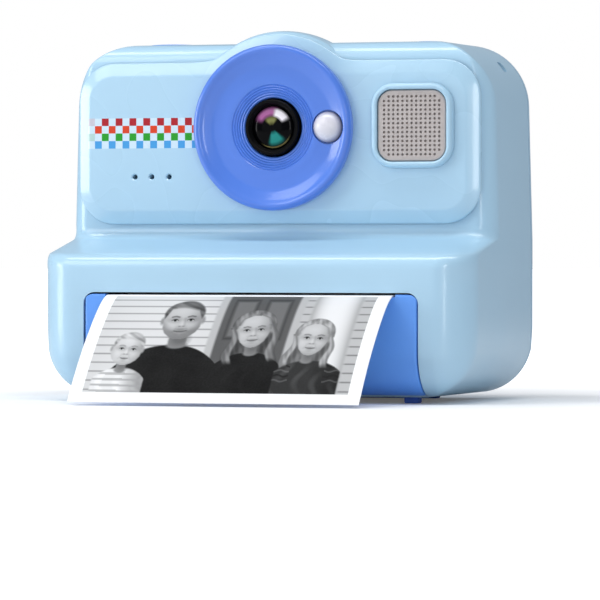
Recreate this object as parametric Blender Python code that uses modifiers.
"""Kids instant-print camera: casing, lens, speaker, printer, electronics and buttons as separate pieces.

Sizes are in millimetres and become metres when a mesh is made. The casing's own frame has X to the
viewer's right, Y to the back and Z up, with zero under the casing; the datum empty then lifts it on its
feet and centres its box on the origin.
"""

from math import cos, pi, radians, sin, sqrt

import bmesh
import bpy
from mathutils import Matrix, Vector

MM = 0.001

# Casing
WIDTH = 88.0
HEIGHT = 68.3
BACK = 24.0
RIM_FRONT = -6.0
LIP_FRONT = -24.0
WALL = 2.0
TAPER = 0.026
TAPER_START = 30.0
BOTTOM_RADIUS = 8.6
TOP_RADIUS = 12.0
RIM_RADIUS = 4.0
BACK_RADIUS = 5.0
LIP_CORNER = 7.6
SIDE_CREASE = 0.5
EDGE_RADIUS = 3.2
EDGE_Z = 23.6
SHELF_SLOPE = 14
FOOT_RADIUS = 3.0
FOOT_Z = 32.9
PARTING = 18.5
GAP = 0.3
FEET_HEIGHT = 1.2
DATUM_Y = 10.4

# Lens, panel and speaker
LENS_Z = 51.7
PANEL_HALF = 41.05
PANEL_LOW = 33.1
PANEL_HIGH = 64.6
PANEL_CORNER = 7.3
PANEL_FRONT = -8.0
PANEL_BACK = -6.3
PANEL_BUMP = 18.2
DOME_X = 11.3
BUMP_PROFILE = [(0, 6), (18.2, 6), (18.8, 5.1), (19, 3.0), (19, 0.0), (18.6, -3.0), (17.6, -6.0), (16.2, -8.6),
                (0, -8.6)]
BUMP_HOLLOW = [(0, 4), (16.9, 4), (16.9, 1.2), (15.2, -2.6), (0, -2.6)]
SPEAKER_X = 27.9
SPEAKER_Z = 51.9
MIC_X = (-30.0, -26.4, -22.9)
MIC_Z = 42.3

# Door and printer
DOOR_HALF = 33.4
DOOR_TOP = 19.6
SLOT_TOP = 19.9
SLOT_HALF = 29.2
DOOR_THICK = 1.8
DOOR_SWEEP = radians(72)
HINGE = (-20.8, 5.4)
PLATEN = (-18.3, 16.3)
PLATEN_RADIUS = 2.6
ROLL = (-4.8, 14.0)
ROLL_RADIUS = 10.0
PAPER_HALF = 28.75
PAPER_THICK = 0.24
PAPER_Z = 19.36
PAPER_REACH = 21.9
GEAR_MODULE = 0.4
PLATEN_TEETH = 15
IDLER_TEETH = 25
PINION_TEETH = 10
IDLER_ANGLE = radians(-5)
PINION_ANGLE = radians(60)
GEAR_X = 31.3
GEAR_WIDTH = 1.8

# Back, top and side
SCREEN = (8.5, 36.5)
SCREEN_SIZE = (47.0, 35.0)
PAD = (-26.5, 32.0)
PAD_STEP = 7.2
KEY_Z = 49.0
SCREW_PLACES = [(x, z) for x in (-36.0, 36.0) for z in (9.0, 57.0)]
SHUTTER = (-27.0, 9.5)
POWER = (26.0, 9.5)
PORT_Y = 13.1
USB_Z = 40.0
CARD_Z = 25.4
CARD_Y = 13.9
STRAP_HOLE = (39.75, 10.5, 63.2)
STRAP_PIN = (38.0, 10.5, 61.8)
STRAP_TURN = radians(39)

SHELL_BLUE = (0.42, 0.63, 0.80)
ROYAL_BLUE = (0.10, 0.25, 0.70)
BLACK = (0.02, 0.02, 0.022)
BOARD_GREEN = (0.03, 0.20, 0.09)
STEEL = (0.62, 0.63, 0.65)


def material(name, colour, roughness=0.4, metallic=0.0):
    made = bpy.data.materials.new(name)
    made.use_nodes = True
    shader = made.node_tree.nodes["Principled BSDF"]
    shader.inputs["Base Color"].default_value = (*colour, 1.0)
    shader.inputs["Roughness"].default_value = roughness
    shader.inputs["Metallic"].default_value = metallic
    return made


def collection(name):
    made = bpy.data.collections.new(name)
    bpy.context.scene.collection.children.link(made)
    return made


def add_object(name, mesh, at, turn, look):
    """Link a mesh as a part, or as a hidden cutter when it has no look."""
    made = bpy.data.objects.new(name, mesh)
    made.location = Vector(at) * MM
    made.rotation_euler = turn
    if look is None:
        cutters.objects.link(made)
        made.hide_render = True
        made.display_type = "WIRE"
    else:
        parts.objects.link(made)
        colour, roughness, metallic = look
        mesh.materials.append(material(name, colour, roughness, metallic))
    made.parent = datum
    return made


def to_mesh(shape, name):
    """Turn a millimetre bmesh into a smooth-shaded mesh in metres."""
    bmesh.ops.scale(shape, vec=(MM, MM, MM), verts=shape.verts)
    bmesh.ops.recalc_face_normals(shape, faces=shape.faces)
    mesh = bpy.data.meshes.new(name)
    shape.to_mesh(mesh)
    shape.free()
    mesh.shade_smooth()
    mesh.set_sharp_from_angle(angle=radians(32))
    return mesh


def box(name, size, at, look=None, bevel=0.0, turn=(0, 0, 0)):
    shape = bmesh.new()
    bmesh.ops.create_cube(shape, size=1.0, matrix=Matrix.Diagonal((*size, 1.0)))
    made = add_object(name, to_mesh(shape, name), at, turn, look)
    if bevel:
        edge = made.modifiers.new("edge", "BEVEL")
        edge.width = bevel * MM
        edge.segments = 2
    return made


AXIS_TURN = {"X": (0, pi / 2, 0), "Y": (pi / 2, 0, 0), "Z": (0, 0, 0)}


def rod(name, radius, length, at, axis, look=None, sides=24):
    """A cylinder centred at a point."""
    shape = bmesh.new()
    bmesh.ops.create_cone(
        shape,
        cap_ends=True,
        segments=sides,
        radius1=radius,
        radius2=radius,
        depth=length,
    )
    return add_object(name, to_mesh(shape, name), at, AXIS_TURN[axis], look)


def turned(name, profile, at, axis, look=None, steps=32, ring=False):
    """Spin a (radius, height) profile, listed from the top down its outer side."""
    mesh = bpy.data.meshes.new(name)
    points = [(radius * MM, 0.0, height * MM) for radius, height in profile]
    count = len(points)
    edges = [(i, (i + 1) % count) for i in range(count if ring else count - 1)]
    mesh.from_pydata(points, edges, [])
    made = add_object(name, mesh, at, AXIS_TURN[axis], look)
    spin = made.modifiers.new("turn", "SCREW")
    spin.steps = steps
    spin.render_steps = steps
    spin.use_merge_vertices = True
    spin.merge_threshold = 0.00001
    return made


def loft(name, rings, at=(0, 0, 0), look=None):
    """Join rings of equal length with quads and cap both ends."""
    shape = bmesh.new()
    rows = [[shape.verts.new(point) for point in ring] for ring in rings]
    count = len(rows[0])
    for low, high in zip(rows, rows[1:]):
        for i in range(count):
            j = (i + 1) % count
            shape.faces.new((low[i], low[j], high[j], high[i]))
    shape.faces.new(reversed(rows[0]))
    shape.faces.new(rows[-1])
    return add_object(name, to_mesh(shape, name), at, (0, 0, 0), look)


def boolean(target, tool, operation):
    change = target.modifiers.new(tool.name, "BOOLEAN")
    change.operation = operation
    change.object = tool
    change.solver = "EXACT"


def cut(target, tool):
    boolean(target, tool, "DIFFERENCE")


def join(target, tool):
    boolean(target, tool, "UNION")


def arc(centre_a, centre_b, radius, start, end, steps):
    """Points on an arc, with its angles in degrees."""
    angles = [radians(start + (end - start) * i / steps) for i in range(steps + 1)]
    return [(centre_a + radius * cos(a), centre_b + radius * sin(a)) for a in angles]


def rounded_square(half_a, half_b, radius, steps=4):
    """A rounded rectangle, anticlockwise from its lower right corner."""
    corners = ((1, -1, -90), (1, 1, 0), (-1, 1, 90), (-1, -1, 180))
    outline = []
    for side_a, side_b, start in corners:
        centre_a = side_a * (half_a - radius)
        centre_b = side_b * (half_b - radius)
        outline += arc(centre_a, centre_b, radius, start, start + 90, steps)
    return outline


def drop(radius, distance):
    """How far a quarter round of this radius has fallen back at a distance past its start."""
    if distance <= 0:
        return 0.0
    return radius - sqrt(max(radius**2 - distance**2, 0.0))


def front_profile(inset):
    """The casing's side outline at the front, bottom to top, as (Y, Z)."""
    slope = SHELF_SLOPE
    low = arc(LIP_FRONT + BOTTOM_RADIUS, BOTTOM_RADIUS, BOTTOM_RADIUS - inset, 270, 180, 6)
    edge = arc(LIP_FRONT + EDGE_RADIUS, EDGE_Z, EDGE_RADIUS - inset, 180, 90 + slope, 3)
    foot = arc(RIM_FRONT - FOOT_RADIUS, FOOT_Z, FOOT_RADIUS + inset, -90 + slope, 0, 3)
    top = []
    for angle in (0, 18, 35, 50, 64, 77, 90):
        z = HEIGHT - TOP_RADIUS + (TOP_RADIUS - inset) * sin(radians(angle))
        y = RIM_FRONT + inset + drop(RIM_RADIUS - inset, z - HEIGHT + RIM_RADIUS)
        top.append((y, z))
    return low + edge + foot + top


def casing_section(front, z, inset):
    """The casing's plan outline at one height."""
    narrow = drop(BOTTOM_RADIUS - inset, BOTTOM_RADIUS - z)
    narrow += drop(TOP_RADIUS - inset, z - HEIGHT + TOP_RADIUS)
    half = WIDTH / 2 - inset - TAPER * max(z - TAPER_START, 0.0) - narrow
    shorten = drop(BACK_RADIUS - inset, BACK_RADIUS - z)
    shorten += drop(BACK_RADIUS - inset, z - HEIGHT + BACK_RADIUS)
    back = BACK - inset - shorten
    blend = min(max((z - EDGE_Z) / (FOOT_Z - EDGE_Z), 0.0), 1.0)
    front_corner = max(LIP_CORNER + (RIM_RADIUS - LIP_CORNER) * blend - inset - narrow, 0.8)
    back_corner = max(BACK_RADIUS - inset - shorten, 0.8)
    shoulder = half - SIDE_CREASE - front_corner
    right = arc(shoulder, front + front_corner, front_corner, -90, 0, 5)
    right += arc(half - back_corner, back - back_corner, back_corner, 0, 90, 3)
    left = [(-x, y) for x, y in reversed(right)]
    return [(x, y, z) for x, y in right + left]


def casing_solid(name, inset, look=None):
    rings = [casing_section(y, z, inset) for y, z in front_profile(inset)]
    return loft(name, rings, look=look)


def bump_solid(name, profile):
    """The round swelling on top of the casing, about the lens axis, or its hollow."""
    return turned(name, profile, (0, 0, LENS_Z), "Y", steps=48)


def plate(name, outline, back, front, edge, look=None, steps=3):
    """A plate facing -Y with a rounded front edge, from an (X, Z) outline and an inset rule."""
    rings = [[(x, back, z) for x, z in outline(0.0)]]
    for i in range(steps + 1):
        angle = pi / 2 * i / steps
        y = front + edge - edge * sin(angle)
        rings.append([(x, y, z) for x, z in outline(edge * (1 - cos(angle)))])
    return loft(name, rings, look=look)


def panel_outline(inset):
    """The faceplate: a rounded rectangle whose top edge swells over the lens."""
    half = PANEL_HALF - inset
    low = PANEL_LOW + inset
    high = PANEL_HIGH - inset
    corner = PANEL_CORNER - inset
    swell = PANEL_BUMP - inset
    softness = 1.2
    points = arc(half - corner, low + corner, corner, -90, 0, 5)
    points += arc(half - corner, high - corner, corner, 0, 90, 5)
    for i in range(21):
        x = 20.0 - 2.0 * i
        disc = LENS_Z + sqrt(max(swell**2 - x**2, 0.0))
        points.append((x, (high + disc + sqrt((high - disc) ** 2 + softness**2)) / 2))
    points += arc(corner - half, high - corner, corner, 90, 180, 5)
    points += arc(corner - half, low + corner, corner, 180, 270, 5)
    return points


def casing_cutters(shell):
    """Everything that is taken out of the front casing."""
    cut(shell, box("rear_half", (120, 60, 120), (0, PARTING + 30, 40)))
    door_low = -15.9
    door_depth = door_low - LIP_FRONT + 10
    cut(shell, box("door_opening", (2 * DOOR_HALF + 0.6, door_depth, SLOT_TOP + 10),
                   (0, door_low - door_depth / 2, (SLOT_TOP - 10) / 2)))
    cut(shell, rod("lens_hole", 9.0, 8, (0, -5, LENS_Z), "Y", sides=32))
    cut(shell, rod("led_hole", 2.0, 8, (DOME_X, -5, LENS_Z), "Y", sides=16))
    cut(shell, rod("speaker_hole", 6.0, 8, (SPEAKER_X, -5, SPEAKER_Z), "Y", sides=24))
    for i, x in enumerate(MIC_X):
        cut(shell, rod(f"mic_hole_{i + 1}", 0.5, 6, (x, -5, MIC_Z), "Y", sides=8))
    cut(shell, rod("shutter_hole", 5.8, 8, (*SHUTTER, HEIGHT), "Z", sides=32))
    cut(shell, rod("power_hole", 3.3, 8, (*POWER, HEIGHT), "Z", sides=24))
    cut(shell, box("strap_hole", (7, 2.4, 2.4), STRAP_HOLE, turn=(0, -STRAP_TURN, 0)))
    cut(shell, box("port_pocket", (4, 9.8, 13.6), (-44.3, 12.85, USB_Z)))
    cut(shell, box("usb_hole", (8, 3.6, 9.4), (-42, PORT_Y, USB_Z)))
    cut(shell, box("card_hole", (8, 1.6, 12.0), (-42, CARD_Y, CARD_Z)))
    for x, y, half in FEET:
        cut(shell, box("foot_pocket", (2 * half + 0.6, 3.4, 2), (x, y, -0.4)))


def casing_bosses(shell):
    """Screw posts, hinge sockets and the pad behind the port cover."""
    for x, z in SCREW_PLACES:
        start = LIP_FRONT + 1 if z < 20 else RIM_FRONT + 1
        length = PARTING - GAP - start
        join(shell, rod("screw_post", 2.6, length, (x, start + length / 2, z), "Y", sides=16))
    for side in (-1, 1):
        join(shell, rod("hinge_post", 2.1, 3.6, (side * 35.5, *HINGE), "X", sides=20))
    join(shell, box("port_pad", (2.6, 10.5, 15.0), (-41.3, 13.0, USB_Z)))


def casing_bores(shell):
    for x, z in SCREW_PLACES:
        cut(shell, rod("screw_bore", 0.95, 14, (x, PARTING - 5, z), "Y", sides=12))
    for side in (-1, 1):
        cut(shell, rod("hinge_bore", 1.1, 6.0, (side * 33.7, *HINGE), "X", sides=20))


def make_front_shell():
    shell = casing_solid("front_shell", 0.0, (SHELL_BLUE, 0.35, 0.0))
    join(shell, bump_solid("bump", BUMP_PROFILE))
    cut(shell, casing_solid("cavity", WALL))
    cut(shell, bump_solid("bump_cavity", BUMP_HOLLOW))
    casing_bosses(shell)
    casing_cutters(shell)
    casing_bores(shell)


def make_rear_shell():
    shell = casing_solid("rear_shell", 0.0, (SHELL_BLUE, 0.35, 0.0))
    cut(shell, casing_solid("rear_cavity", WALL))
    cut(shell, box("front_half", (120, 80, 120), (0, PARTING + GAP - 40, 40)))
    width, height = SCREEN_SIZE
    x, z = SCREEN
    cut(shell, box("screen_seat", (width, 3.0, height), (x, BACK, z)))
    cut(shell, box("screen_hole", (width - 5, 8, height - 4), (x, BACK, z)))
    for name, place, radius in BACK_BUTTONS:
        cut(shell, rod(name + "_hole", radius + 0.2, 6, (place[0], BACK, place[1]), "Y", sides=20))
    for x, z in SCREW_PLACES:
        length = BACK - 1 - PARTING - 2 * GAP
        join(shell, rod("rear_post", 2.8, length, (x, BACK - 1 - length / 2, z), "Y", sides=16))
    for x, z in SCREW_PLACES:
        cut(shell, rod("head_recess", 2.1, 8, (x, BACK + 0.5, z), "Y", sides=16))
        cut(shell, rod("shank_hole", 1.15, 12, (x, BACK - 4, z), "Y", sides=12))


def make_screws():
    """Pan-head screws from the back into the posts of the front casing."""
    for i, (x, z) in enumerate(SCREW_PLACES):
        profile = [(0, 0.6), (1.5, 0.6), (1.9, 0.2), (1.9, -0.7), (0.85, -0.7), (0.85, -9.0), (0, -9.7)]
        made = turned(f"case_screw_{i + 1}", profile, (x, BACK - 2.4, z), "Y", (STEEL, 0.35, 1.0), steps=12)
        made.rotation_euler = (-pi / 2, 0, 0)


def make_panel():
    panel = plate("front_panel", panel_outline, PANEL_BACK, PANEL_FRONT, 1.3, (SHELL_BLUE, 0.3, 0.0))
    cut(panel, rod("panel_lens_hole", 8.9, 8, (0, -7, LENS_Z), "Y", sides=32))
    cut(panel, rod("panel_led_hole", 1.6, 8, (DOME_X, -7, LENS_Z), "Y", sides=12))
    cut(panel, rod("panel_speaker_hole", 6.6, 8, (SPEAKER_X, -7, SPEAKER_Z), "Y", sides=24))
    for i, x in enumerate(MIC_X):
        cut(panel, rod(f"panel_mic_hole_{i + 1}", 0.5, 8, (x, -7, MIC_Z), "Y", sides=10))


def make_lens():
    """Ring, barrel, glass, sensor and the fill light, on the lens axis."""
    at = (0, 0, LENS_Z)
    ring = [(5.7, 9.6), (8.2, 9.8), (10.2, 9.7), (12.9, 10.0), (13.3, 10.6), (15.3, 11.0), (16, 10.4),
            (16.1, 9.0), (15.6, 8.3), (8.5, 8.3), (8.5, 3.6), (5.7, 3.6)]
    made = turned("lens_ring", ring, at, "Y", (ROYAL_BLUE, 0.35, 0.0), steps=36, ring=True)
    cut(made, rod("dome_seat", 3.3, 3.0, (DOME_X, -10.6, LENS_Z), "Y", sides=24))
    cut(made, rod("dome_bore", 1.7, 10, (DOME_X, -10, LENS_Z), "Y", sides=12))
    barrel = [(4.7, 10.4), (5.4, 10.4), (5.4, 2.4), (3.6, 2.4), (3.6, 5.2), (4.3, 7.8)]
    turned("lens_barrel", barrel, at, "Y", (BLACK, 0.35, 0.0), steps=32, ring=True)
    glass = [(0, 10.2), (2.4, 9.8), (4.1, 8.9), (4.1, 8.2), (2.2, 7.4), (0, 7.3)]
    turned("front_lens", glass, at, "Y", ((0.02, 0.02, 0.03), 0.03, 0.0), steps=24)
    box("camera_module", (9, 3.9, 9), (0, 0.0, LENS_Z), (BLACK, 0.5, 0.0), bevel=0.4)
    box("sensor_board", (16, 1.0, 14), (0, 2.8, LENS_Z), (BOARD_GREEN, 0.5, 0.0))
    dome = [(0, 11.9), (1.3, 11.7), (2.3, 11.1), (2.9, 10.3), (3.0, 9.4), (1.4, 9.4), (1.4, 6.2), (0, 6.2)]
    turned("fill_light_dome", dome, (DOME_X, 0, LENS_Z), "Y", ((0.85, 0.85, 0.88), 0.2, 0.0), steps=24)
    box("fill_light_led", (2.4, 1.4, 2.4), (DOME_X, -4.9, LENS_Z), ((0.9, 0.85, 0.5), 0.4, 0.0))


def make_speaker():
    def outer(inset):
        outline = rounded_square(8.2 - inset, 8.2 - inset, 4.5 - inset)
        return [(x + SPEAKER_X, z + SPEAKER_Z) for x, z in outline]

    def inner(inset):
        outline = rounded_square(6.8 - inset, 6.8 - inset, 2.8 - inset)
        return [(x + SPEAKER_X, z + SPEAKER_Z) for x, z in outline]

    bezel = plate("speaker_bezel", outer, -8.15, -9.6, 0.8, (SHELL_BLUE, 0.35, 0.0))
    hole = [[(x + SPEAKER_X, y, z + SPEAKER_Z) for x, z in rounded_square(7.0, 7.0, 3.0)] for y in (-7, -11)]
    cut(bezel, loft("bezel_hole", hole))
    plate("speaker_grille", inner, -8.3, -9.1, 0.3, ((0.55, 0.54, 0.53), 0.4, 0.8), steps=2)
    cone = [(0, 2.6), (2.0, 2.4), (5.2, 3.7), (6.6, 3.7), (6.6, 1.6), (4.2, 0.6), (4.2, -1.2), (0, -1.2)]
    turned("speaker", cone, (SPEAKER_X, 0, SPEAKER_Z), "Y", (BLACK, 0.5, 0.0), steps=24)
    rod("microphone", 2.0, 1.5, (MIC_X[1], -2.9, MIC_Z), "Y", (STEEL, 0.4, 1.0), sides=16)


def make_electronics():
    board = box("main_pcb", (72, 1.2, 38), (-4, 15.6, 39), (BOARD_GREEN, 0.5, 0.0))
    cut(board, rod("board_notch", 3.2, 6, (-36, 15.6, 57), "Y", sides=16))
    box("processor", (10, 1.2, 10), (8, 14.1, 46), (BLACK, 0.5, 0.0))
    box("battery", (52, 6.0, 29), (2, 9.2, 43.0), ((0.6, 0.62, 0.65), 0.4, 0.4), bevel=1.0)
    x, z = SCREEN
    box("lcd_module", (47, 2.8, 35), (x, 20.2, z), (BLACK, 0.3, 0.0), bevel=0.3)
    width, height = SCREEN_SIZE
    box("screen_window", (width - 0.6, 1.1, height - 0.6), (x, 23.3, z), ((0.02, 0.02, 0.03), 0.05, 0.0), bevel=0.2)
    box("top_board", (62, 8, 1.0), (0, 9.5, 59.9), (BOARD_GREEN, 0.5, 0.0))
    box("shutter_switch", (6, 6, 2.6), (SHUTTER[0], SHUTTER[1], 62.0), (BLACK, 0.5, 0.0), bevel=0.2)
    box("power_switch", (6, 6, 2.6), (POWER[0], POWER[1], 62.0), (BLACK, 0.5, 0.0), bevel=0.2)
    socket = box("usb_socket", (7.4, 3.1, 9.0), (-36.4, PORT_Y, USB_Z), (STEEL, 0.3, 1.0), bevel=0.3)
    cut(socket, box("usb_mouth", (12, 2.3, 8.2), (-40.4, PORT_Y, USB_Z)))
    holder = box("card_socket", (14.4, 1.9, 13.4), (-34.0, 13.85, CARD_Z), (STEEL, 0.35, 1.0))
    cut(holder, box("card_mouth", (26, 1.2, 11.6), (-41.0, CARD_Y, CARD_Z)))
    box("memory_card", (15, 0.7, 11), (-35.9, CARD_Y, CARD_Z), (BLACK, 0.4, 0.0))


def make_port_cover():
    """A flap whose origin lies on its hinge line at the pocket's front edge."""
    rings = []
    for z in (-6.5, 6.5):
        round_end = arc(0, 0.5, 0.45, 270, 90, 4)
        rings.append([(y, x, z) for x, y in [(8.6, 0.05), (8.6, 0.95)] + list(reversed(round_end))])
    flap = loft("port_cover", rings, (-43.45, 8.8, USB_Z), (SHELL_BLUE, 0.6, 0.0))
    for vertex in flap.data.vertices:
        vertex.co.x -= 0.5 * MM


def make_buttons():
    """Round caps with a flange behind the wall; each origin is at the cap's centre."""
    for name, (x, z), radius in BACK_BUTTONS:
        profile = [(0, 0.6), (radius - 0.4, 0.6), (radius, 0.2), (radius, -2.4), (radius + 0.6, -2.4),
                   (radius + 0.6, -3.1), (0, -3.1)]
        made = turned(name, profile, (x, BACK, z), "Y", (ROYAL_BLUE, 0.4, 0.0), steps=20)
        made.rotation_euler = (-pi / 2, 0, 0)
    for name, (x, y), radius in TOP_BUTTONS:
        profile = [(0, 0.5), (radius - 0.5, 0.5), (radius, 0.1), (radius, -2.6), (radius + 0.8, -2.6),
                   (radius + 0.8, -3.5), (0, -3.5)]
        turned(name, profile, (x, y, HEIGHT), "Z", (ROYAL_BLUE, 0.4, 0.0), steps=28)
    mat = box("button_membrane", (21, 1.0, 31), (-26.5, 17.1, 38.5), ((0.75, 0.75, 0.76), 0.7, 0.0))
    for name, (x, z), _ in BACK_BUTTONS:
        join(mat, rod(name + "_post", 1.5, 3.2, (x, 18.5, z), "Y", sides=12))


def make_small_pieces():
    rod("strap_pin", 0.7, 4.6, STRAP_PIN, "Y", (STEEL, 0.3, 1.0), sides=12)
    for name, (x, y, half) in zip(("foot_front_left", "foot_front_right", "foot_rear"), FEET):
        box(name, (2 * half, 2.8, 1.5), (x, y, -0.45), (ROYAL_BLUE, 0.6, 0.0), bevel=0.2)


def door_section(outer, inner, steps=8):
    """The door's side outline: straight face, then round under the lip, as (Y, Z)."""
    centre_y = LIP_FRONT + BOTTOM_RADIUS
    end = 180 + DOOR_SWEEP * 180 / pi
    face = arc(centre_y, BOTTOM_RADIUS, BOTTOM_RADIUS - outer, 180, end, steps)
    rear = arc(centre_y, BOTTOM_RADIUS, BOTTOM_RADIUS - inner, end, 180, steps)
    return [(LIP_FRONT + outer, DOOR_TOP)] + face + rear + [(LIP_FRONT + inner, DOOR_TOP)]


def make_door():
    """The door, with its origin on the hinge axis, and ears for the hinge and the platen."""
    section = door_section(0.0, DOOR_THICK)
    hinge_y, hinge_z = HINGE
    rings = [[(x, y - hinge_y, z - hinge_z) for y, z in section] for x in (-DOOR_HALF, DOOR_HALF)]
    door = loft("paper_door", rings, (0, *HINGE), (ROYAL_BLUE, 0.4, 0.0))
    corner = [[(x, y, z + 4.0) for x, z in rounded_square(DOOR_HALF + 0.5, DOOR_TOP - 4.0, 2.0)]
              for y in (-30, -10)]
    boolean(door, loft("door_outline", corner), "INTERSECT")
    cut(door, box("paper_notch", (2 * SLOT_HALF, 8, 1.0), (0, LIP_FRONT, DOOR_TOP)))
    for side in (-1, 1):
        join(door, box("platen_ear", (0.9, 4.6, 3.4), (side * 29.8, -20.2, 16.2)))
        join(door, rod("hinge_ear", 2.05, 2.0, (side * 31.9, *HINGE), "X", sides=20))
    cut(door, rod("shaft_bore", 0.98, 80, (0, *PLATEN), "X", sides=20))
    cut(door, rod("pin_bore", 1.08, 80, (0, *HINGE), "X", sides=20))
    for side, name in ((-1, "door_pin_left"), (1, "door_pin_right")):
        rod(name, 1.0, 5.4, (side * 33.7, *HINGE), "X", (STEEL, 0.3, 1.0), sides=20)


def gear(name, teeth, at, tooth_angle, bore):
    """A spur gear across X with a tooth at the given angle in the YZ plane."""
    pitch = GEAR_MODULE * teeth / 2
    tip = pitch + 0.32
    root = pitch - 0.46
    step = 2 * pi / teeth
    half = GEAR_WIDTH / 2
    shape = ((-0.33, root), (-0.13, tip), (0.13, tip), (0.33, root))
    rings = []
    for x in (-half, half):
        ring = []
        for i in range(teeth):
            for share, radius in shape:
                angle = tooth_angle + (i + share) * step
                ring.append((x, radius * cos(angle), radius * sin(angle)))
        rings.append(ring)
    made = loft(name, rings, at, ((0.85, 0.85, 0.82), 0.5, 0.0))
    cut(made, rod(name + "_bore", bore, 10, at, "X", sides=16))


def make_gears():
    platen_y, platen_z = PLATEN
    first = GEAR_MODULE * (PLATEN_TEETH + IDLER_TEETH) / 2
    second = GEAR_MODULE * (IDLER_TEETH + PINION_TEETH) / 2
    idler_y = platen_y + first * cos(IDLER_ANGLE)
    idler_z = platen_z + first * sin(IDLER_ANGLE)
    pinion_y = idler_y + second * cos(PINION_ANGLE)
    pinion_z = idler_z + second * sin(PINION_ANGLE)
    gear("platen_gear", PLATEN_TEETH, (GEAR_X, *PLATEN), IDLER_ANGLE, 0.98)
    idler_tooth = IDLER_ANGLE + pi + pi / IDLER_TEETH
    gear("idler_gear", IDLER_TEETH, (GEAR_X, idler_y, idler_z), idler_tooth, 1.08)
    step = 2 * pi / IDLER_TEETH
    phase = ((PINION_ANGLE - idler_tooth) / step) % 1.0
    pinion_tooth = PINION_ANGLE + pi + (phase - 0.5) * 2 * pi / PINION_TEETH
    gear("motor_pinion", PINION_TEETH, (GEAR_X, pinion_y, pinion_z), pinion_tooth, 0.68)
    return (idler_y, idler_z), (pinion_y, pinion_z)


def make_printer():
    idler, pinion = make_gears()
    at = (0, *PLATEN)
    sleeve = [(1.2, 28.6), (2.4, 28.6), (PLATEN_RADIUS, 28.4), (PLATEN_RADIUS, -28.4), (2.4, -28.6), (1.2, -28.6)]
    turned("platen_roller", sleeve, at, "X", (BLACK, 0.8, 0.0), steps=24, ring=True)
    rod("platen_shaft", 0.9, 62.6, (0.9, *PLATEN), "X", (STEEL, 0.3, 1.0), sides=20)
    motor = rod("feed_motor", 4.2, 7.4, (37.6, *pinion), "X", (STEEL, 0.35, 1.0), sides=24)
    join(motor, rod("motor_shaft", 0.6, 6, (33.2, *pinion), "X", sides=12))
    frame = box("printer_frame", (67, 5, 1.0), (0, -12.0, 25.2), (STEEL, 0.4, 1.0))
    for side in (-1, 1):
        join(frame, box("frame_side", (0.9, 12.8, 13.4), (side * 33.05, -8.9, 18.8)))
    join(frame, rod("idler_stub", 1.0, 3.0, (31.9, *idler), "X", sides=16))
    cut(frame, rod("motor_hole", 1.6, 4, (33.05, *pinion), "X", sides=16))
    box("print_head", (59, 3.6, 5.0), (0, -17.0, 22.5), ((0.55, 0.55, 0.57), 0.35, 0.9), bevel=0.4)
    cradle_rings = []
    for x in (-28.4, 28.4):
        path = arc(*ROLL, 11.4, 240, 380, 14) + arc(*ROLL, 10.4, 380, 240, 14)
        cradle_rings.append([(x, y, z) for y, z in path])
    loft("roll_cradle", cradle_rings, look=((0.8, 0.8, 0.8), 0.6, 0.0))
    half = PAPER_HALF - 0.15
    paper = [(4.1, half), (ROLL_RADIUS, half), (ROLL_RADIUS, -half), (4.1, -half)]
    turned("paper_roll", paper, (0, *ROLL), "X", ((0.9, 0.9, 0.9), 0.8, 0.0), steps=40, ring=True)
    core = [(3.0, half), (3.8, half), (3.8, -half), (3.0, -half)]
    turned("paper_core", core, (0, *ROLL), "X", ((0.8, 0.78, 0.7), 0.7, 0.0), steps=20, ring=True)


def print_path():
    """The print's centre line as (Y, Z): flat through the slot, then curling down."""
    points = [(-17.4, PAPER_Z), (-20.8, PAPER_Z), (-23.4, PAPER_Z)]
    steps = 13
    for i in range(1, steps + 1):
        forward = PAPER_REACH * i / steps
        fall = 0.461 * forward + 0.0204 * forward**2
        ease = 1.0 - 0.9 * (1.0 - i / steps) ** 6
        points.append((-23.4 - forward, PAPER_Z - fall * ease))
    return points


def make_print():
    path = [Vector((0, y, z)) for y, z in print_path()]
    rings = []
    for i, point in enumerate(path):
        along = path[min(i + 1, len(path) - 1)] - path[max(i - 1, 0)]
        normal = Vector((0, -along.z, along.y)).normalized() * PAPER_THICK / 2
        low = point - normal
        high = point + normal
        rings.append([(-PAPER_HALF, low.y, low.z), (PAPER_HALF, low.y, low.z),
                      (PAPER_HALF, high.y, high.z), (-PAPER_HALF, high.y, high.z)])
    loft("print", rings, look=((0.9, 0.9, 0.9), 0.6, 0.0))


BACK_BUTTONS = [
    ("ok_button", PAD, 2.9),
    ("up_button", (PAD[0], PAD[1] + PAD_STEP), 2.2),
    ("down_button", (PAD[0], PAD[1] - PAD_STEP), 2.2),
    ("left_button", (PAD[0] + PAD_STEP, PAD[1]), 2.2),
    ("right_button", (PAD[0] - PAD_STEP, PAD[1]), 2.2),
    ("mode_button", (PAD[0] + 4.8, KEY_Z), 2.4),
    ("print_button", (PAD[0] - 4.8, KEY_Z), 2.4),
]
TOP_BUTTONS = [("shutter_button", SHUTTER, 5.4), ("power_button", POWER, 3.0)]
FEET = [(-29.5, -13.4, 1.4), (29.5, -13.4, 1.4), (0.0, 15.4, 26.0)]

for old in list(bpy.data.objects):
    bpy.data.objects.remove(old, do_unlink=True)

parts = collection("kids_camera")
cutters = collection("cutters")
datum = bpy.data.objects.new("datum", None)
datum.location = (0.0, DATUM_Y * MM, FEET_HEIGHT * MM)
parts.objects.link(datum)

make_front_shell()
make_rear_shell()
make_screws()
make_panel()
make_lens()
make_speaker()
make_electronics()
make_port_cover()
make_buttons()
make_small_pieces()
make_door()
make_printer()
make_print()
